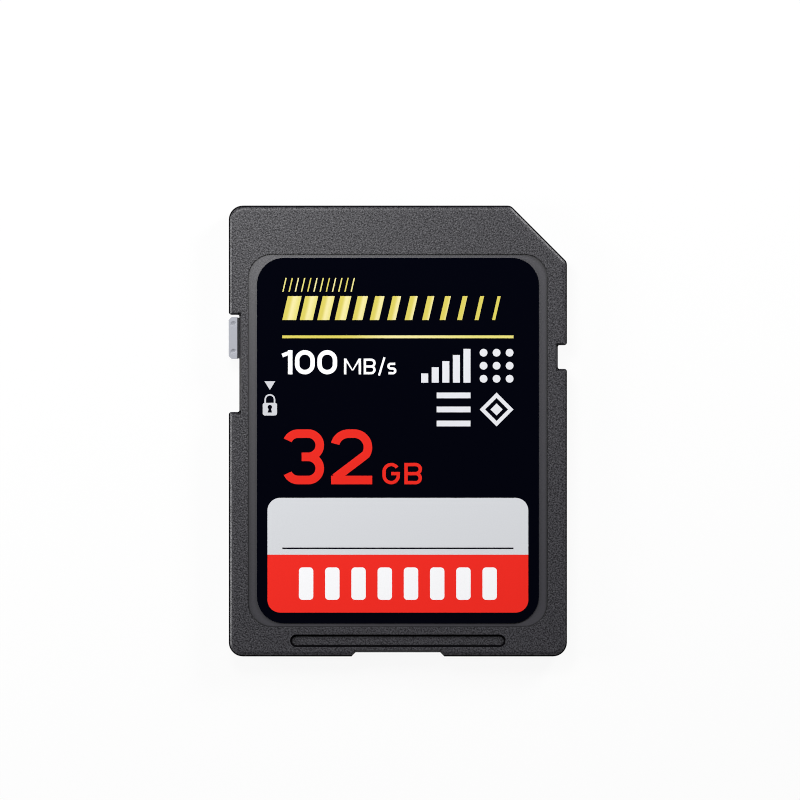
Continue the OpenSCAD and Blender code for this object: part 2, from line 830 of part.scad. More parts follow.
// The slider: a block in the notch, a tongue through the wall and a head behind it
module lock_slider() {
    x0 = -half_w;
    x1 = lock_wall_x - slider_side_gap;
    y0 = slider_y - slider_l / 2;
    y1 = slider_y + slider_l / 2;
    c = slider_chamfer;
    head_x = pocket_x + slide_gap;
    color("#c0c1c8")
        difference() {
            union() {
                prism(rail_z + slide_gap, card_t - slide_gap)
                    polygon([[x0 + c, y0], [x1, y0], [x1, y1], [x0 + c, y1], [x0, y1 - c], [x0, y0 + c]]);
                block(
                    x1 - bite, slider_y - tongue_l / 2, slot_z + slide_gap,
                    head_x + bite, slider_y + tongue_l / 2, seam_z - slide_gap
                );
                block(
                    head_x, slider_y - head_l / 2, board_z + slide_gap,
                    head_x + head_w, slider_y + head_l / 2, pocket_ceiling_z - slide_gap
                );
            }
            for (y = [y0 + dimple_end, y1 - dimple_end])
                translate([x0 + dimple_edge, y, card_t - slide_gap + dimple_ball_r - dimple_d])
                    sphere(r = dimple_ball_r);
        }
}

// Circuit board and what is on it

module circuit_board() {
    gap = board_gap;
    head_reach = head_l / 2 + travel_slack + gap;
    color("#1f5a3a")
        prism(board_z, board_top)
            difference() {
                rounded_polygon(
                    card_corners(side_wall + gap, foot_wall + gap, lip_wall + gap, lip_wall + gap),
                    card_radii(cut_r, cut_r)
                );
                translate([-half_w, slider_y - slider_travel - head_reach])
                    square([pocket_x + pocket_w + gap + half_w, slider_travel + 2 * head_reach]);
                at_pins()
                    circle(r = pin_r + pin_gap);
            }
}

module contact_pad(n) {
    color("#d9a94a")
        contact_block(n, 0, rail_z, board_z);
}

// A moulded package with a shallow round mark in one corner
module package(x, y, w, l) {
    mark_r = 0.4;
    mark_d = 0.05;
    color("#232327")
        difference() {
            block(x - w / 2, y - l / 2, board_top, x + w / 2, y + l / 2, board_top + chip_t);
            translate([x - w / 2 + 3 * mark_r, y + l / 2 - 3 * mark_r, board_top + chip_t - mark_d])
                cylinder(r = mark_r, h = chip_t);
        }
}

module flash_memory() {
    package(flash_x, flash_y, flash_w, flash_l);
}

module memory_controller() {
    package(controller_x, controller_y, controller_w, controller_w);
}

function passive_y(n) = controller_y + (n - (passive_count + 1) / 2) * passive_pitch;

// A chip part: a body between two slightly larger end caps
module passive(x, y, h) {
    cap_l = passive_l / 4;
    step = 0.02;
    block(
        x - passive_l / 2 + cap_l / 2, y - passive_w / 2 + step, board_top,
        x + passive_l / 2 - cap_l / 2, y + passive_w / 2 - step, board_top + h - step
    );
    for (side = [-1, 1])
        translate([x + side * (passive_l - cap_l) / 2 - cap_l / 2, y - passive_w / 2, board_top])
            cube([cap_l, passive_w, h]);
}

module capacitor(n) {
    color("#b59a72")
        passive(capacitor_x, passive_y(n), capacitor_t);
}

module resistor(n) {
    color("#2e2e33")
        passive(resistor_x, passive_y(n), resistor_t);
}

// Labels and print

module front_label() {
    color("#04050c")
        prism(recess_z, label_top)
            rounded_box(-label_w / 2, label_y0, label_w / 2, label_y1, label_r);
}

module back_label() {
    x = back_recess_w / 2 - back_label_gap;
    color("#26262b")
        prism(back_recess_d - back_label_t, back_recess_d)
            rounded_box(
                -x, -half_l + back_recess_from_foot + back_label_gap,
                x, half_l - back_recess_from_top - back_label_gap, back_recess_r
            );
}

module ink() {
    prism(label_top, label_top + ink_t)
        children();
}

// Panel and band share one rounded outline, cut along the line between them
module panel_outline(y0, y1) {
    intersection() {
        rounded_box(-panel_w / 2, band_y0, panel_w / 2, panel_y0 + panel_h, panel_r);
        translate([-panel_w, y0])
            square([2 * panel_w, y1 - y0]);
    }
}

module writing_panel() {
    color("#d9dadc")
        ink()
            difference() {
                panel_outline(panel_y0, panel_y0 + panel_h);
                translate([print_x0, panel_y0 + line_above_band - line_h / 2])
                    square([print_x1 - print_x0, line_h]);
            }
}

// A row of plain slots, left open in the red band and filled with white
module band_slots() {
    y = band_y0 + band_h / 2;
    for (i = [0:slot_count - 1]) {
        x = (i - (slot_count - 1) / 2) * slot_pitch;
        rounded_box(x - slot_w / 2, y - slot_h / 2, x + slot_w / 2, y + slot_h / 2, slot_r);
    }
}

module capacity_figures() {
    h = capacity_h;
    s = capacity_stroke;
    figure_w = h * 0.76;
    gap = s * 0.74;
    unit_h = capacity_unit_h;
    unit_w = unit_h * 0.82;
    unit_x = 2 * figure_w + 2.6 * gap;
    translate([print_x0, capacity_y0]) {
        figure_3(h, figure_w, s);
        translate([figure_w + gap, 0])
            figure_2(h, figure_w, s);
        translate([unit_x, 0])
            letter_g(unit_h, unit_w, capacity_unit_stroke);
        translate([unit_x + unit_w + 1.3 * capacity_unit_stroke, 0])
            letter_b(unit_h, unit_w, capacity_unit_stroke);
    }
}

module red_print() {
    color("#f02d24")
        ink() {
            difference() {
                panel_outline(band_y0, panel_y0);
                band_slots();
            }
            capacity_figures();
        }
}

module leaning_bar(x, y, w, h) {
    lean = h * tan(lean_angle);
    translate([x, y])
        polygon([[0, 0], [w, 0], [w + lean, h], [lean, h]]);
}

module gold_print() {
    stripe_lean = stripe_h * tan(lean_angle);
    last_x = print_x1 - stripe_narrowest - stripe_lean;
    stripe_count = floor((last_x - print_x0) / stripe_pitch) + 1;
    fine_count = 12;
    color("#e6cf58")
        ink() {
            translate([print_x0, label_y1 - rule_from_top - rule_h])
                square([print_x1 - print_x0, rule_h]);
            for (i = [0:stripe_count - 1])
                leaning_bar(
                    print_x0 + i * stripe_pitch, label_y1 - stripe_from_top - stripe_h,
                    stripe_widest + (stripe_narrowest - stripe_widest) * i / (stripe_count - 1),
                    stripe_h
                );
            for (i = [0:fine_count - 1])
                leaning_bar(
                    print_x0 + i * fine_pitch, label_y1 - fine_row_from_top - fine_row_h,
                    fine_stroke, fine_row_h
                );
        }
}

module speed_figures() {
    h = speed_h;
    s = speed_stroke;
    one_w = h * 0.42;
    zero_w = h * 0.82;
    gap = s * 0.55;
    unit_h = speed_unit_h;
    unit_s = speed_unit_stroke;
    unit_x = one_w + 2 * zero_w + 2 * gap + 0.28 * h;
    m_w = unit_h * 1.08;
    b_w = unit_h * 0.76;
    slash_w = unit_h * 0.5;
    unit_gap = unit_s * 1.1;
    translate([print_x0, speed_y0]) {
        figure_1(h, one_w, s);
        for (i = [0, 1])
            translate([one_w + gap + i * (zero_w + gap), 0])
                figure_0(h, zero_w, s);
        translate([unit_x, 0])
            letter_m(unit_h, m_w, unit_s);
        translate([unit_x + m_w + unit_gap, 0])
            letter_b(unit_h, b_w, unit_s);
        translate([unit_x + m_w + b_w + 1.8 * unit_gap, 0])
            stroke([unit_s / 2, -unit_s / 2], [slash_w - unit_s / 2, unit_h + unit_s / 2], unit_s * 0.9);
        translate([unit_x + m_w + b_w + slash_w + 2.4 * unit_gap, 0])
            letter_s(unit_h * 0.74, unit_h * 0.58, unit_s);
    }
}

module padlock_sign() {
    body_y = label_y1 - padlock_from_top - shackle_h - padlock_body_h;
    shackle_r = padlock_w * 0.325;
    arch_y = shackle_h - shackle_r - shackle_stroke / 2;
    hole_r = padlock_w * 0.155;
    translate([padlock_x, body_y]) {
        difference() {
            rounded_box(-padlock_w / 2, 0, padlock_w / 2, padlock_body_h, padlock_w * 0.15);
            translate([0, padlock_body_h * 0.66])
                circle(r = hole_r);
            polygon([
                [-hole_r, padlock_body_h * 0.23], [hole_r, padlock_body_h * 0.23],
                [hole_r * 0.4, padlock_body_h * 0.62], [-hole_r * 0.4, padlock_body_h * 0.62]
            ]);
        }
        translate([0, padlock_body_h]) {
            arc_stroke([0, arch_y], shackle_r, shackle_stroke, 0, 180);
            for (side = [-1, 1])
                stroke([side * shackle_r, -shackle_stroke / 2], [side * shackle_r, arch_y], shackle_stroke);
        }
    }
}

module pointer_sign() {
    y = label_y1 - pointer_from_top;
    polygon([
        [padlock_x - pointer_w / 2, y], [padlock_x, y - pointer_h], [padlock_x + pointer_w / 2, y]
    ]);
}

module rising_bars(x, y) {
    count = 5;
    pitch = sign_h / 3.2;
    for (i = [0:count - 1])
        translate([x - (count - i) * pitch + pitch / 3, y])
            square([pitch * 2 / 3, sign_h * (i + 1.5) / (count + 0.5)]);
}

module dot_grid(x, y) {
    r = sign_h * 0.115;
    pitch = sign_h / 2 - r;
    for (i = [0:2], j = [0:2])
        translate([x - r - i * pitch, y + r + j * pitch])
            circle(r = r);
}

module stacked_bars(x, y) {
    h = sign_h * 0.17;
    for (i = [0:2])
        translate([x - sign_h, y + i * (sign_h - h) / 2])
            square([sign_h, h]);
}

module diamond(x, y) {
    outer = sign_h / 2;
    inner = outer * 0.68;
    core = outer * 0.36;
    translate([x - outer, y + outer]) {
        difference() {
            circle(r = outer, $fn = 4);
            circle(r = inner, $fn = 4);
        }
        circle(r = core, $fn = 4);
    }
}

module white_print() {
    upper_y = label_y1 - upper_signs_from_top - sign_h;
    lower_y = label_y1 - lower_signs_from_top - sign_h;
    color("#f2f3f6")
        ink() {
            speed_figures();
            pointer_sign();
            padlock_sign();
            band_slots();
            rising_bars(print_x1 - sign_step, upper_y);
            dot_grid(print_x1, upper_y);
            stacked_bars(print_x1 - sign_step, lower_y);
            diamond(print_x1, lower_y);
        }
}

back_shell();
circuit_board();
contact_pad(1);  // contact_pad_1
contact_pad(2);  // contact_pad_2
contact_pad(3);  // contact_pad_3
contact_pad(4);  // contact_pad_4
contact_pad(5);  // contact_pad_5
contact_pad(6);  // contact_pad_6
contact_pad(7);  // contact_pad_7
contact_pad(8);  // contact_pad_8
contact_pad(9);  // contact_pad_9
flash_memory();
memory_controller();
capacitor(1);  // capacitor_1
capacitor(2);  // capacitor_2
capacitor(3);  // capacitor_3
capacitor(4);  // capacitor_4
resistor(1);  // resistor_1
resistor(2);  // resistor_2
resistor(3);  // resistor_3
resistor(4);  // resistor_4
lock_slider();
front_shell();
front_label();
writing_panel();
red_print();
gold_print();
white_print();
back_label();
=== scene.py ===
# A full-size memory card with a write-protect slider, lying on a white table and seen from above.

import math
import bpy
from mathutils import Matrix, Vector


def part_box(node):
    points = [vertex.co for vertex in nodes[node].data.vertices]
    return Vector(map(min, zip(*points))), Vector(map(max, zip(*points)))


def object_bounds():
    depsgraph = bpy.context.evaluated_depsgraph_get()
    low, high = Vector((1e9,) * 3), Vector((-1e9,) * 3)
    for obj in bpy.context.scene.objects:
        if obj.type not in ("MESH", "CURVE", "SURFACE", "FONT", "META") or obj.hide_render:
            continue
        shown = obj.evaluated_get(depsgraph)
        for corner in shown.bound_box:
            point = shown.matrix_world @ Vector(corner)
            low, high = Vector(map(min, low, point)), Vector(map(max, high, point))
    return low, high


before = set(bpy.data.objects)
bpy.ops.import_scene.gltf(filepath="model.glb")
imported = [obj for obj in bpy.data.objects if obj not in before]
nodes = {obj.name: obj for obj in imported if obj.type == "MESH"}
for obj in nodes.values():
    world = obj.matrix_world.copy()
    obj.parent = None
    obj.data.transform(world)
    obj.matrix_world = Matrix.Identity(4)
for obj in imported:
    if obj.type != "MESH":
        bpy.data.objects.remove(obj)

cad_low, cad_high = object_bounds()
MM = 0.001


# Camera
# A long lens looks straight down on the label, as a product picture does, in a frame as wide as the
# photograph's. A narrow pixel filter keeps edges and grain as crisp as the photograph's.

FRAME_WIDTH = 56.74 * MM
FRAME_MIDDLE = Vector((0.15, 2.2, 0)) * MM
LENS_MM = 400
SENSOR_MM = 36
FILTER_PIXELS = 1.0
# The nearest and furthest things in view, in camera heights
NEAREST = 0.1
FURTHEST = 20

camera_data = bpy.data.cameras.new("camera")
camera_data.lens = LENS_MM
camera_data.sensor_width = SENSOR_MM
camera_height = FRAME_WIDTH * LENS_MM / SENSOR_MM
camera_data.clip_start = camera_height * NEAREST
camera_data.clip_end = camera_height * FURTHEST
camera = bpy.data.objects.new("camera", camera_data)
camera.location = FRAME_MIDDLE + Vector((0, 0, cad_high.z + camera_height))
bpy.context.collection.objects.link(camera)
bpy.context.scene.camera = camera
bpy.context.scene.view_settings.view_transform = "Standard"
bpy.context.scene.cycles.filter_width = FILTER_PIXELS


# Table and room
# A white matt table top that runs on past the view and takes the card's shadow. The eye sees it
# lifted to plain white, and sees white walls behind it, under a dark ceiling.

TABLE_WHITE = "#F0F0F0"
TABLE_SIZE = 4.0
TABLE_DROP = 0.01 * MM
SEEN_WHITE = 0.92
ROOM_LIGHT = 0.04
# The upward part of a direction, where the white walls begin to fade and where the dark begins
WALLS_UP_TO = 0.1
ROOM_DARK_FROM = 0.3


def linear(hex_colour):
    """An sRGB hex value as linear red, green, blue and alpha."""
    parts = [int(hex_colour[i:i + 2], 16) / 255 for i in (1, 3, 5)]
    curved = [p / 12.92 if p <= 0.04045 else ((p + 0.055) / 1.055) ** 2.4 for p in parts]
    return (*curved, 1.0)


def add(tree, kind, inputs=None, **settings):
    """Adds one node. Each input is a value, or an output or another node to link from."""
    made = tree.nodes.new(kind)
    for name, value in settings.items():
        setattr(made, name, value)
    for name, value in (inputs or {}).items():
        if isinstance(value, bpy.types.Node):
            value = next(output for output in value.outputs if output.enabled)
        if isinstance(value, bpy.types.NodeSocket):
            tree.links.new(value, made.inputs[name])
        else:
            made.inputs[name].default_value = value
    return made


def new_material(name):
    """A material with an empty tree, apart from its output."""
    made = bpy.data.materials.new(name)
    made.use_nodes = True
    made.node_tree.nodes.clear()
    output = add(made.node_tree, "ShaderNodeOutputMaterial")
    return made, made.node_tree, output


def seen_by_eye(tree):
    """One for rays from the camera, and for what it sees in a gloss or through glass."""
    path = add(tree, "ShaderNodeLightPath").outputs
    seen = add(tree, "ShaderNodeMath", {
        0: path["Is Camera Ray"], 1: path["Is Glossy Ray"],
    }, operation="MAXIMUM")
    return add(tree, "ShaderNodeMath", {
        0: seen, 1: path["Is Transmission Ray"],
    }, operation="MAXIMUM")


# Matt paint gives the eye an even white that holds a soft shadow and no reflection.
table_paint, tree, output = new_material("matt white table paint")
share = add(tree, "ShaderNodeMath", {0: seen_by_eye(tree), 1: SEEN_WHITE}, operation="MULTIPLY")
paint = add(tree, "ShaderNodeBsdfDiffuse", {"Color": linear(TABLE_WHITE)})
white = add(tree, "ShaderNodeEmission", {"Color": linear("#FFFFFF"), "Strength": 1.0})
both = add(tree, "ShaderNodeMixShader", {0: share, 1: paint, 2: white})
tree.links.new(both.outputs[0], output.inputs["Surface"])

table_mesh = bpy.data.meshes.new("table_top")
half = TABLE_SIZE / 2
corners = [(x, y, -TABLE_DROP) for x, y in ((-half, -half), (half, -half), (half, half), (-half, half))]
table_mesh.from_pydata(corners, [], [(0, 1, 2, 3)])
table_mesh.materials.append(table_paint)
table = bpy.data.objects.new("table_top", table_mesh)
bpy.context.collection.objects.link(table)

world = bpy.data.worlds.new("white walls under a dark ceiling")
world.use_nodes = True
tree = world.node_tree
tree.nodes.clear()
direction = add(tree, "ShaderNodeTexCoord").outputs["Generated"]
upward = add(tree, "ShaderNodeSeparateXYZ", {0: direction}).outputs["Z"]
low_down = add(tree, "ShaderNodeMapRange", {
    "Value": upward, "From Min": WALLS_UP_TO, "From Max": ROOM_DARK_FROM, "To Min": 1.0, "To Max": 0.0,
})
wall = add(tree, "ShaderNodeMath", {0: seen_by_eye(tree), 1: low_down}, operation="MULTIPLY")
room = add(tree, "ShaderNodeBackground", {"Color": linear("#FFFFFF"), "Strength": ROOM_LIGHT})
behind = add(tree, "ShaderNodeBackground", {"Color": linear("#FFFFFF"), "Strength": 1.0})
mixed = add(tree, "ShaderNodeMixShader", {0: wall, 1: room, 2: behind})
add(tree, "ShaderNodeOutputWorld", {"Surface": mixed})
bpy.context.scene.world = world


# Lamps
# Three soft boxes stand clear of the lens's own reflection, so that the black label stays black.
# The main one is close, at the upper left, and makes that side lighter.

def soft_box(name, place_mm, size_mm, share):
    """A square lamp facing the card. Its share of the light is what a flat face at the middle gets."""
    stand = Vector(place_mm) * MM
    lamp_data = bpy.data.lights.new(name, "AREA")
    lamp_data.shape = "SQUARE"
    lamp_data.size = size_mm * MM
    lamp_data.energy = share * math.pi ** 2 * stand.length ** 3 / stand.z
    lamp = bpy.data.objects.new(name, lamp_data)
    lamp.location = stand
    lamp.rotation_euler = (-stand).to_track_quat("-Z", "Y").to_euler()
    lamp.visible_camera = False
    bpy.context.collection.objects.link(lamp)


soft_box("main_box", (-20, 42, 82), 32, 0.455)
soft_box("upper_right_box", (95, 88, 75), 45, 0.36)
soft_box("left_box", (-130, 0, 60), 60, 0.25)


# Housing shells
# Two halves moulded in black ABS and welded at the rim. Spark-eroded moulds give the plastic its fine
# matt grain, and only the floor of the label's recess is polished.

SHELL_PALE = "#3C3B41"
SHELL_DARK = "#121116"
SHELL_ROUGHNESS = 0.44
ABS_IOR = 1.53
# The grain is drawn as coarse as the photograph shows it, and turned off the card's own axes
GRAIN_MM = 0.11
GRAIN_DEPTH = 0.02 * MM
GRAIN_TURN = 0.6
# The noise values at which a pit and a rim are full
PIT_AT = 0.36
RIM_AT = 0.64
PIT_SHEEN = 0.58
RIM_SHEEN = 1.42
# The polished floor's colour is set lighter than the grained plastic: a painted sheen.
RECESS_BLACK_WITH_PAINTED_SHEEN = "#38373D"
RECESS_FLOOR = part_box("front_label")[0].z
RECESS_FLOOR_WITHIN = 0.02 * MM
RECESS_GRAIN = 0.15
RECESS_SHEEN = 0.58
RECESS_ROUGHNESS = 0.36
# How far a face looks up or down: 0 on a wall, 1 on a flat face. Edges and slopes lie between.
WALL_UP_TO = 0.1
EDGE_FROM = 0.2
EDGE_UP_TO = 0.57
FLAT_FROM = 0.84
# Rounded edges and slopes get a painted shade: their colour is taken down to this share.
EDGE_PAINTED_SHADE = 0.12
# Painted shade in corners and at the foot of each wall: how far it looks for nearby surfaces, and how
# sharply it darkens.
PAINTED_CORNER_SHADE_REACH = 0.13 * MM
PAINTED_CORNER_SHADE_SHARPNESS = 3.0
EDGE_ROUNDING = 0.035 * MM
ROUNDING_STEPS = 2
SAME_POINT = 0.0005 * MM
FLAT_WITHIN = math.radians(0.5)
SHARP_FROM = math.radians(35)


def per_metre(feature_mm):
    """The texture scale at which a noise has features of about this size."""
    return 1 / (feature_mm * MM)


# Spark-eroded ABS gives the eye a charcoal surface with no clear reflection: raised specks catch
# the light, and the pits between them stay dark. The polished floor looks even, and its colour is
# set a little lighter, a painted sheen. Rounded edges and the groove's slopes carry a painted shade
# that makes them nearly black. Corners and the foot of each wall carry a painted shade that deepens
# where less of the surface round them is open, and their gloss is taken down too.
shell_plastic, tree, output = new_material("spark-eroded black ABS")
spot = add(tree, "ShaderNodeTexCoord").outputs["Object"]
face = add(tree, "ShaderNodeNewGeometry").outputs["True Normal"]
looks_up = add(tree, "ShaderNodeSeparateXYZ", {0: face}).outputs["Z"]
lean = add(tree, "ShaderNodeMath", {0: looks_up}, operation="ABSOLUTE")
off_wall = add(tree, "ShaderNodeMapRange", {
    "Value": lean, "From Min": WALL_UP_TO, "From Max": EDGE_FROM,
})
off_flat = add(tree, "ShaderNodeMapRange", {
    "Value": lean, "From Min": EDGE_UP_TO, "From Max": FLAT_FROM, "To Min": 1.0, "To Max": 0.0,
})
on_edge = add(tree, "ShaderNodeMath", {0: off_wall, 1: off_flat}, operation="MULTIPLY")
off_edge = add(tree, "ShaderNodeMath", {0: 1.0, 1: on_edge}, operation="SUBTRACT")
height = add(tree, "ShaderNodeSeparateXYZ", {0: spot}).outputs["Z"]
polished = add(tree, "ShaderNodeMath", {
    0: height, 1: RECESS_FLOOR, 2: RECESS_FLOOR_WITHIN,
}, operation="COMPARE")
grain_kept = add(tree, "ShaderNodeMapRange", {"Value": polished, "To Min": 1.0, "To Max": RECESS_GRAIN})
grained = add(tree, "ShaderNodeMath", {0: off_edge, 1: grain_kept}, operation="MULTIPLY")
open_air = add(tree, "ShaderNodeAmbientOcclusion", {
    "Distance": PAINTED_CORNER_SHADE_REACH,
}, samples=6, only_local=True).outputs["AO"]
turned = add(tree, "ShaderNodeMapping", {"Vector": spot, "Rotation": (0, 0, GRAIN_TURN)})
blobs = add(tree, "ShaderNodeTexNoise", {
    "Vector": turned, "Scale": per_metre(GRAIN_MM), "Detail": 2.0, "Roughness": 0.55,
}).outputs["Fac"]
relief = add(tree, "ShaderNodeBump", {"Strength": grained, "Distance": GRAIN_DEPTH, "Height": blobs})
specks = add(tree, "ShaderNodeMapRange", {
    "Value": blobs, "From Min": PIT_AT, "From Max": RIM_AT, "To Min": -0.5, "To Max": 0.5,
})
mottle = add(tree, "ShaderNodeMath", {0: grained, 1: specks}, operation="MULTIPLY")
speck_share = add(tree, "ShaderNodeMath", {0: mottle, 1: 0.5}, operation="ADD")
# A colour mix takes its share at input 0, and its two colours at inputs 6 and 7
colour = add(tree, "ShaderNodeMix", {
    0: speck_share, 6: linear(SHELL_DARK), 7: linear(SHELL_PALE),
}, data_type="RGBA")
# The polished floor takes its lighter colour, a painted sheen.
with_painted_sheen = add(tree, "ShaderNodeMix", {0: polished, 6: colour, 7: linear(RECESS_BLACK_WITH_PAINTED_SHEEN)}, data_type="RGBA")
# Painted shade: the colour is darkened on rounded edges and slopes, and in corners where the surface is
# less open.
painted_edge_shade = add(tree, "ShaderNodeMapRange", {"Value": off_edge, "To Min": EDGE_PAINTED_SHADE})
painted_corner_shade = add(tree, "ShaderNodeMath", {0: open_air, 1: PAINTED_CORNER_SHADE_SHARPNESS}, operation="POWER")
painted_shade = add(tree, "ShaderNodeMath", {0: painted_edge_shade, 1: painted_corner_shade}, operation="MULTIPLY")
with_painted_shade = add(tree, "ShaderNodeMix", {0: 1.0, 6: with_painted_sheen, 7: painted_shade}, data_type="RGBA", blend_type="MULTIPLY")
speck_sheen = add(tree, "ShaderNodeMapRange", {
    "Value": mottle, "From Min": -0.5, "From Max": 0.5, "To Min": PIT_SHEEN, "To Max": RIM_SHEEN,
})
floor_sheen = add(tree, "ShaderNodeMapRange", {"Value": polished, "To Min": RECESS_SHEEN})
sheen = add(tree, "ShaderNodeMath", {0: speck_sheen, 1: floor_sheen}, operation="MULTIPLY")
# The gloss is taken down by the same painted shade on edges and in corners.
gloss_left_by_painted_shade = add(tree, "ShaderNodeMath", {0: off_edge, 1: open_air}, operation="MULTIPLY")
gloss = add(tree, "ShaderNodeMath", {0: sheen, 1: gloss_left_by_painted_shade}, operation="MULTIPLY")
roughness = add(tree, "ShaderNodeMapRange", {
    "Value": polished, "To Min": SHELL_ROUGHNESS, "To Max": RECESS_ROUGHNESS,
})
plastic = add(tree, "ShaderNodeBsdfPrincipled", {
    "Base Color": with_painted_shade, "Roughness": roughness, "IOR": ABS_IOR, "Specular IOR Level": gloss,
    "Normal": relief,
})
tree.links.new(plastic.outputs[0], output.inputs["Surface"])


def dress(node, material, rounding=0.0):
    """Gives a CAD node its finish, and fine rounding on its edges where it has any."""
    piece = nodes[node]
    piece.data.materials.clear()
    piece.data.materials.append(material)
    if rounding:
        weld = piece.modifiers.new("join faces", "WELD")
        weld.merge_threshold = SAME_POINT
        joined = piece.modifiers.new("flat faces made whole", "DECIMATE")
        joined.decimate_type = "DISSOLVE"
        joined.angle_limit = FLAT_WITHIN
        edge = piece.modifiers.new("edge rounding", "BEVEL")
        edge.width = rounding
        edge.segments = ROUNDING_STEPS
        edge.limit_method = "ANGLE"
        edge.angle_limit = SHARP_FROM
        edge.use_clamp_overlap = True
        edge.harden_normals = True


for shell in ("front_shell", "back_shell"):
    dress(shell, shell_plastic, EDGE_ROUNDING)


# Write-protect slider
# The switch against overwriting, a light grey block moulded in acetal, which slides well on ABS. It
# stands in the left notch, and its tongue and head are held between the two shells.

SLIDER_GREY = "#A5A7AF"
SLIDER_WAVE_MM = 0.8
SLIDER_WAVE_HEIGHT = 0.004 * MM
# A painted shade for the slider where it runs into the slot. It reaches this far and is gone where the
# surface round it is this open.
SLOT_PAINTED_SHADE = "#0A0A0C"
SLOT_REACH = 0.6 * MM
SLOT_OPEN = 0.75
ACETAL_IOR = 1.48

# Smooth moulded acetal gives the eye a broad, soft shine, a little wavy. Where it runs into the slot,
# its colour turns to a painted shade that darkens as less of the surface round it is open.
slider_plastic, tree, output = new_material("smooth grey acetal")
spot = add(tree, "ShaderNodeTexCoord").outputs["Object"]
wave = add(tree, "ShaderNodeTexNoise", {
    "Vector": spot, "Scale": per_metre(SLIDER_WAVE_MM), "Detail": 2.0,
})
relief = add(tree, "ShaderNodeBump", {
    "Strength": 0.25, "Distance": SLIDER_WAVE_HEIGHT, "Height": wave,
})
open_air = add(tree, "ShaderNodeAmbientOcclusion", {"Distance": SLOT_REACH}, samples=6).outputs["AO"]
out_of_painted_shade = add(tree, "ShaderNodeMapRange", {"Value": open_air, "From Max": SLOT_OPEN})
colour = add(tree, "ShaderNodeMix", {
    0: out_of_painted_shade, 6: linear(SLOT_PAINTED_SHADE), 7: linear(SLIDER_GREY),
}, data_type="RGBA")
plastic = add(tree, "ShaderNodeBsdfPrincipled", {
    "Base Color": colour, "Roughness": 0.38, "IOR": ACETAL_IOR, "Normal": relief,
})
tree.links.new(plastic.outputs[0], output.inputs["Surface"])
dress("lock_slider", slider_plastic, EDGE_ROUNDING)


# Front label
# A polyester film, dyed near black and lacquered, die-cut with round corners. It is glued in the
# recess of the front shell, and carries the four inks.

LABEL_BLACK = "#02030C"
LABEL_WAVE_MM = 2.5
LABEL_WAVE_HEIGHT = 0.002 * MM
LACQUER_IOR = 1.45

# Lacquered film gives the eye a deep, even black from above, with a faint reflection that wavers
# because the glue under it is uneven.
label_film, tree, output = new_material("black polyester label film")
spot = add(tree, "ShaderNodeTexCoord").outputs["Object"]
wave = add(tree, "ShaderNodeTexNoise", {
    "Vector": spot, "Scale": per_metre(LABEL_WAVE_MM), "Detail": 1.0,
})
relief = add(tree, "ShaderNodeBump", {
    "Strength": 0.2, "Distance": LABEL_WAVE_HEIGHT, "Height": wave,
})
film = add(tree, "ShaderNodeBsdfPrincipled", {
    "Base Color": linear(LABEL_BLACK), "Roughness": 0.08, "IOR": LACQUER_IOR,
    "Specular IOR Level": 0.2, "Normal": relief,
})
tree.links.new(film.outputs[0], output.inputs["Surface"])
dress("front_label", label_film)


# Inks on the label
# Screen-printed inks, each a thin even layer. The gold is a blend that pales towards the middle of
# the rule and of each broad stripe. The white is thinner on the signs, and the red on the figures.

INK_IOR = 1.45
SATIN_INK = 0.4
CHALKY_INK = 0.55
SCREEN_THREAD_MM = 0.09
SCREEN_DEPTH = 0.001 * MM
THIN_INK = 0.97
THICK_INK = 1.03
PANEL_GREY = "#D5D7DB"
INK_RED = "#F2271C"
INK_FIGURES = "#E72113"
FIGURES_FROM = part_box("writing_panel")[1].y
INK_WHITE = "#FCFCFE"
INK_SIGNS = "#E2E3E8"
SIGNS_FROM = Vector((0.8, -4.0, 0)) * MM
INK_LOCK = "#CDCED3"
LOCK_UP_TO = -8.35 * MM
GOLD_DEEP = "#D3C658"
GOLD_PALE = "#E9DF9C"
GOLD_LIGHT = "#DED576"
# Where along the rule or a broad stripe each gold is full
DEEP_AT = 0.25
PALE_AT = 0.5
LIGHT_AT = 0.9
GOLD_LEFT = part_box("gold_print")[0].x
GOLD_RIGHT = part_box("gold_print")[1].x
LABEL_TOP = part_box("front_label")[1].y
STRIPES_FROM_TOP = 4.41 * MM
RULE_FROM_TOP = 5 * MM
STRIPE_PITCH = 1.24 * MM
# The share of its pitch that the broadest stripe fills, and the part of the blend that it shows
STRIPE_SHARE = 0.8
BLEND_FROM = 0.05
BLEND_TO = 0.95
STRIPE_LEAN = math.tan(math.radians(13))


def ink(name, colour, roughness=SATIN_INK):
    """A flat, opaque ink with a faint mottle, as coarse as the threads of a printing screen."""
    made, tree, output = new_material(name)
    spot = add(tree, "ShaderNodeTexCoord").outputs["Object"]
    screen = add(tree, "ShaderNodeTexNoise", {
        "Vector": spot, "Scale": per_metre(SCREEN_THREAD_MM), "Detail": 2.0,
    })
    thickness = add(tree, "ShaderNodeMapRange", {
        "Value": screen, "To Min": THIN_INK, "To Max": THICK_INK,
    })
    tone = add(tree, "ShaderNodeMix", {
        0: 1.0, 6: colour(tree, spot), 7: thickness,
    }, data_type="RGBA", blend_type="MULTIPLY")
    relief = add(tree, "ShaderNodeBump", {
        "Strength": 0.2, "Distance": SCREEN_DEPTH, "Height": screen,
    })
    layer = add(tree, "ShaderNodeBsdfPrincipled", {
        "Base Color": tone, "Roughness": roughness, "IOR": INK_IOR, "Specular IOR Level": 0.3,
        "Normal": relief,
    })
    tree.links.new(layer.outputs[0], output.inputs["Surface"])
    return made


def panel_grey(tree, spot):
    """One grey all over."""
    return linear(PANEL_GREY)


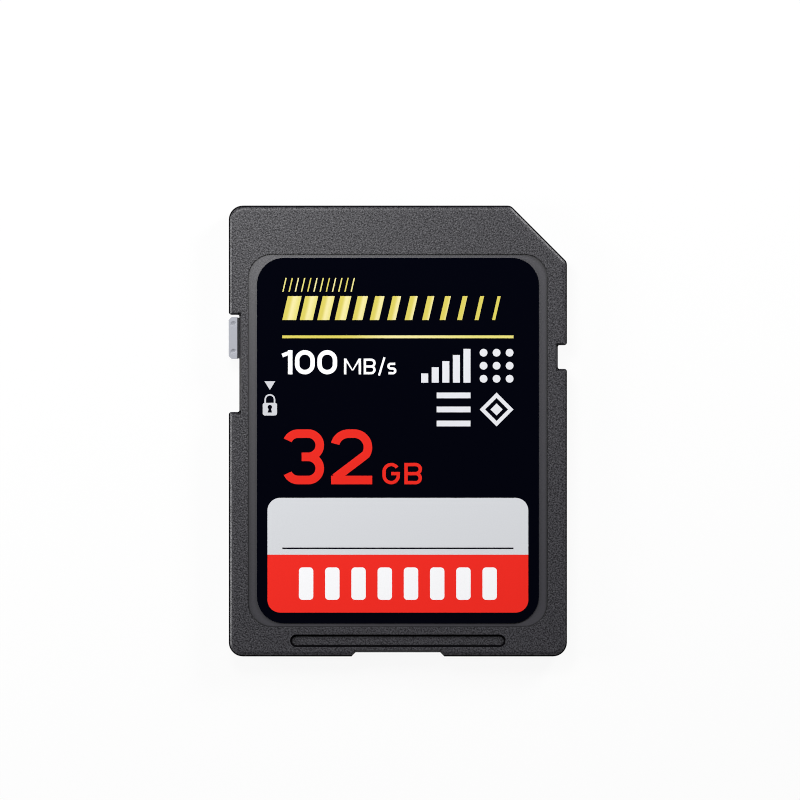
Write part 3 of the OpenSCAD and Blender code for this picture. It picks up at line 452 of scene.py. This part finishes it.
def red_in_two(tree, spot):
    """Red, thinner and deeper on the figures over the writing panel."""
    up = add(tree, "ShaderNodeSeparateXYZ", {0: spot}).outputs["Y"]
    figure = add(tree, "ShaderNodeMath", {0: up, 1: FIGURES_FROM}, operation="GREATER_THAN")
    return add(tree, "ShaderNodeMix", {
        0: figure, 6: linear(INK_RED), 7: linear(INK_FIGURES),
    }, data_type="RGBA")


def white_in_three(tree, spot):
    """White, thinner and greyer on the signs at the right, and most on those by the slider."""
    across = add(tree, "ShaderNodeSeparateXYZ", {0: spot}).outputs
    by_slider = add(tree, "ShaderNodeMath", {0: across["X"], 1: LOCK_UP_TO}, operation="LESS_THAN")
    right = add(tree, "ShaderNodeMath", {0: across["X"], 1: SIGNS_FROM.x}, operation="GREATER_THAN")
    above = add(tree, "ShaderNodeMath", {0: across["Y"], 1: SIGNS_FROM.y}, operation="GREATER_THAN")
    sign = add(tree, "ShaderNodeMath", {0: right, 1: above}, operation="MULTIPLY")
    pale = add(tree, "ShaderNodeMix", {
        0: sign, 6: linear(INK_WHITE), 7: linear(INK_SIGNS),
    }, data_type="RGBA")
    return add(tree, "ShaderNodeMix", {0: by_slider, 6: pale, 7: linear(INK_LOCK)}, data_type="RGBA")


def gold_blend(tree, spot):
    """Deep gold at the left of the rule and of each broad stripe, palest in the middle, then light."""
    across = add(tree, "ShaderNodeSeparateXYZ", {0: spot}).outputs
    above_foot = add(tree, "ShaderNodeMath", {
        0: across["Y"], 1: LABEL_TOP - STRIPES_FROM_TOP,
    }, operation="SUBTRACT")
    leaning = add(tree, "ShaderNodeMath", {0: above_foot, 1: STRIPE_LEAN}, operation="MULTIPLY")
    upright = add(tree, "ShaderNodeMath", {0: across["X"], 1: leaning}, operation="SUBTRACT")
    from_left = add(tree, "ShaderNodeMath", {0: upright, 1: GOLD_LEFT}, operation="SUBTRACT")
    stripes = add(tree, "ShaderNodeMath", {0: from_left, 1: STRIPE_PITCH}, operation="DIVIDE")
    in_stripe = add(tree, "ShaderNodeMath", {0: stripes}, operation="FRACT")
    along_stripe = add(tree, "ShaderNodeMapRange", {
        "Value": in_stripe, "From Max": STRIPE_SHARE, "To Min": BLEND_FROM, "To Max": BLEND_TO,
    })
    along_rule = add(tree, "ShaderNodeMapRange", {
        "Value": across["X"], "From Min": GOLD_LEFT, "From Max": GOLD_RIGHT,
    })
    on_rule = add(tree, "ShaderNodeMath", {
        0: across["Y"], 1: LABEL_TOP - RULE_FROM_TOP,
    }, operation="LESS_THAN")
    along = add(tree, "ShaderNodeMix", {0: on_rule, 2: along_stripe, 3: along_rule})
    blend = add(tree, "ShaderNodeValToRGB", {"Fac": along})
    ramp = blend.color_ramp
    ramp.interpolation = "EASE"
    ramp.elements[0].position = DEEP_AT
    ramp.elements[0].color = linear(GOLD_DEEP)
    ramp.elements[1].position = PALE_AT
    ramp.elements[1].color = linear(GOLD_PALE)
    last = ramp.elements.new(LIGHT_AT)
    last.color = linear(GOLD_LIGHT)
    return blend


# The panel's ink is chalky, to take a pen, and gives the eye an even pale grey with no shine.
dress("writing_panel", ink("chalky grey panel ink", panel_grey, CHALKY_INK))
# Red and white are opaque plastic inks, flat and full in colour, with a slight satin shine.
dress("red_print", ink("red screen ink", red_in_two))
dress("white_print", ink("white screen ink", white_in_three))
# The gold is a yellow blend and no metal, so it keeps its colour and its soft roundness from any side.
dress("gold_print", ink("gold screen ink", gold_blend))


# Back label
# A plain dark polyester film on the contact side. It is glued in a shallow recess of the back shell,
# and its face lies a little below the plastic round it, so that it never rubs in a socket.

BACK_LABEL_GREY = "#232327"
BACK_LABEL_WAVE_MM = 0.5
BACK_LABEL_WAVE_HEIGHT = 0.003 * MM
FILM_IOR = 1.5

# Satin film gives the eye a smoother, darker field than the plastic round it, with a soft shine.
back_film, tree, output = new_material("dark satin back film")
spot = add(tree, "ShaderNodeTexCoord").outputs["Object"]
wave = add(tree, "ShaderNodeTexNoise", {
    "Vector": spot, "Scale": per_metre(BACK_LABEL_WAVE_MM), "Detail": 3.0,
})
relief = add(tree, "ShaderNodeBump", {
    "Strength": 0.3, "Distance": BACK_LABEL_WAVE_HEIGHT, "Height": wave,
})
film = add(tree, "ShaderNodeBsdfPrincipled", {
    "Base Color": linear(BACK_LABEL_GREY), "Roughness": 0.35, "IOR": FILM_IOR, "Normal": relief,
})
tree.links.new(film.outputs[0], output.inputs["Surface"])
dress("back_label", back_film)


# Circuit board
# A thin plate of glass cloth in epoxy, coated with green solder mask. It lies on a shelf in the back
# shell, held by two pins, and its edge shows at the contacts' ends and in the slider's slot.

MASK_GREEN = "#1F4A34"
GLASS_BUNDLE_MM = 0.4
GLASS_BUNDLE_HEIGHT = 0.004 * MM
EPOXY_IOR = 1.5

# Solder mask gives the eye a glassy dark green, with a faint print-through of the cloth's bundles.
board_laminate, tree, output = new_material("green solder mask on glass epoxy")
spot = add(tree, "ShaderNodeTexCoord").outputs["Object"]
cloth = add(tree, "ShaderNodeTexVoronoi", {
    "Vector": spot, "Scale": per_metre(GLASS_BUNDLE_MM),
}, feature="F1")
relief = add(tree, "ShaderNodeBump", {
    "Strength": 0.2, "Distance": GLASS_BUNDLE_HEIGHT, "Height": cloth,
})
mask = add(tree, "ShaderNodeBsdfPrincipled", {
    "Base Color": linear(MASK_GREEN), "Roughness": 0.3, "IOR": EPOXY_IOR, "Normal": relief,
})
tree.links.new(mask.outputs[0], output.inputs["Surface"])
dress("circuit_board", board_laminate)


# Contacts
# Nine copper pads on the board, plated with hard gold, one behind each window of the back shell. A
# socket's springs wipe them lengthwise.

CONTACTS = 9
GOLD_PLATE = "#E9BE62"
WIPE_LINE_MM = 0.05
WIPE_LINE_STRETCH = 0.04
WIPE_LINE_DEPTH = 0.002 * MM
BRIGHT_ROUGHNESS = 0.2
WIPED_ROUGHNESS = 0.34

# Hard gold gives the eye a bright warm metal, brushed faintly lengthwise by the wiping springs. The
# lines are drawn a little coarser than real ones, so that they show.
gold_plate, tree, output = new_material("hard gold plating")
spot = add(tree, "ShaderNodeTexCoord").outputs["Object"]
stretched = add(tree, "ShaderNodeMapping", {"Vector": spot, "Scale": (1.0, WIPE_LINE_STRETCH, 1.0)})
lines = add(tree, "ShaderNodeTexNoise", {
    "Vector": stretched, "Scale": per_metre(WIPE_LINE_MM), "Detail": 2.0,
})
relief = add(tree, "ShaderNodeBump", {
    "Strength": 0.25, "Distance": WIPE_LINE_DEPTH, "Height": lines,
})
dull = add(tree, "ShaderNodeMapRange", {
    "Value": lines, "To Min": BRIGHT_ROUGHNESS, "To Max": WIPED_ROUGHNESS,
})
plate = add(tree, "ShaderNodeBsdfPrincipled", {
    "Base Color": linear(GOLD_PLATE), "Metallic": 1.0, "Roughness": dull, "Normal": relief,
})
tree.links.new(plate.outputs[0], output.inputs["Surface"])
for number in range(1, CONTACTS + 1):
    dress(f"contact_pad_{number}", gold_plate)


# Chips
# Soldered to the inner face of the board: two packages cast in black resin, which hold the memory
# and its controller, and four ceramic capacitors and four glazed resistors. The shells hide them.

CHIP_PARTS = 4
SPECK_HEIGHT = 0.004 * MM
RESIN_BLACK = "#242428"
CAPACITOR_TAN = "#A98A60"
RESISTOR_BLACK = "#26262A"


def fired_or_moulded(name, hex_colour, roughness, grain_mm):
    """A hard surface with a fine random grain."""
    made, tree, output = new_material(name)
    spot = add(tree, "ShaderNodeTexCoord").outputs["Object"]
    speck = add(tree, "ShaderNodeTexNoise", {"Vector": spot, "Scale": per_metre(grain_mm), "Detail": 2.0})
    relief = add(tree, "ShaderNodeBump", {
        "Strength": 0.4, "Distance": SPECK_HEIGHT, "Height": speck,
    })
    body = add(tree, "ShaderNodeBsdfPrincipled", {
        "Base Color": linear(hex_colour), "Roughness": roughness, "Normal": relief,
    })
    tree.links.new(body.outputs[0], output.inputs["Surface"])
    return made


# Filled resin gives the eye a dull dark grey with a sandy grain, fired ceramic a dull tan, and a
# resistor's glaze a shinier black.
moulding_resin = fired_or_moulded("black moulding resin", RESIN_BLACK, 0.6, 0.08)
capacitor_ceramic = fired_or_moulded("tan capacitor ceramic", CAPACITOR_TAN, 0.45, 0.05)
resistor_glaze = fired_or_moulded("black resistor glaze", RESISTOR_BLACK, 0.3, 0.05)
for package in ("flash_memory", "memory_controller"):
    dress(package, moulding_resin)
for number in range(1, CHIP_PARTS + 1):
    dress(f"capacitor_{number}", capacitor_ceramic)
    dress(f"resistor_{number}", resistor_glaze)
